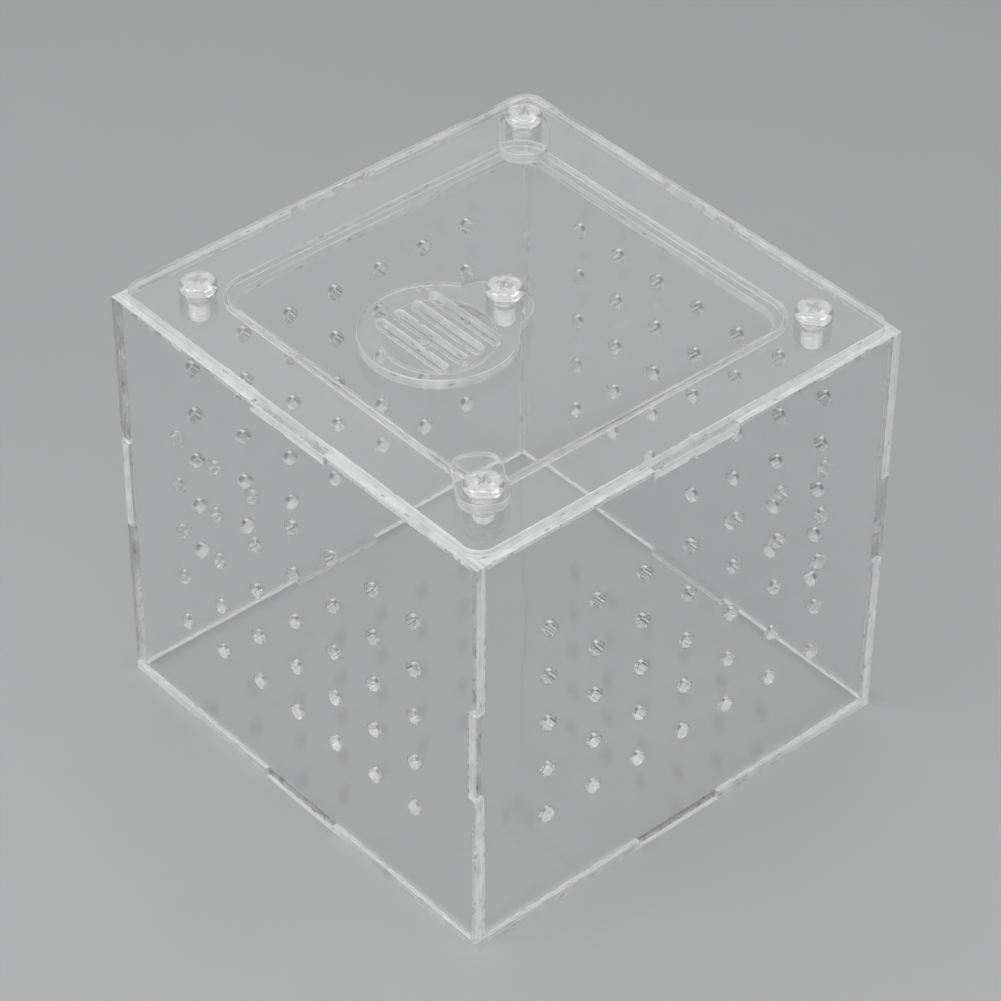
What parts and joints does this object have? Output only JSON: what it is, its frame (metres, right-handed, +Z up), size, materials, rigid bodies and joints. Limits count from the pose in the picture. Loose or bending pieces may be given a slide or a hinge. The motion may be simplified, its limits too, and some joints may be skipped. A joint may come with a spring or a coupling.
{
  "type": "insect observation cage",
  "caption": "Clear square observation cage with perforated walls, a lift-out lid held by turning latches, and a slotted vent cover that swings off its feeding hole.",
  "frame": {"origin": "middle of the underside of the base plate, on the surface the box stands on", "axes": "+Z up; the front wall faces -Y, towards the side that the vent cover lies on at rest; the right wall faces +X"},
  "size_m": [0.1, 0.1, 0.0967],
  "materials": {
    "clear_sheet": "polished clear acrylic sheet with laser-cut edges",
    "clear_screw": "moulded clear polycarbonate"
  },
  "bodies": {
    "box": {"base_plate": "clear_sheet", "front_wall": "clear_sheet", "back_wall": "clear_sheet", "left_wall": "clear_sheet", "right_wall": "clear_sheet", "lower_rim": "clear_sheet", "upper_rim": "clear_sheet", "lid_panel": "clear_sheet", "vent_screw": "clear_screw", "front_latch_screw": "clear_screw", "rear_latch_screw": "clear_screw", "left_rim_screw": "clear_screw", "right_rim_screw": "clear_screw"},
    "vent_cover": {"vent_cover": "clear_sheet"},
    "front_latch": {"front_latch": "clear_sheet"},
    "rear_latch": {"rear_latch": "clear_sheet"}
  },
  "joints": [
    {"name": "vent_cover_turn", "type": "hinge", "parent": "box", "child": "vent_cover", "pos_m": [0, 0, 0.093], "axis": [0, 0, 1], "range_deg": [-180, 180]},
    {"name": "front_latch_turn", "type": "hinge", "parent": "box", "child": "front_latch", "pos_m": [0.0388, -0.0388, 0.093], "axis": [0, 0, 1], "range_deg": [-180, 180]},
    {"name": "rear_latch_turn", "type": "hinge", "parent": "box", "child": "rear_latch", "pos_m": [-0.0388, 0.0388, 0.093], "axis": [0, 0, 1], "range_deg": [-180, 180]}
  ]
}
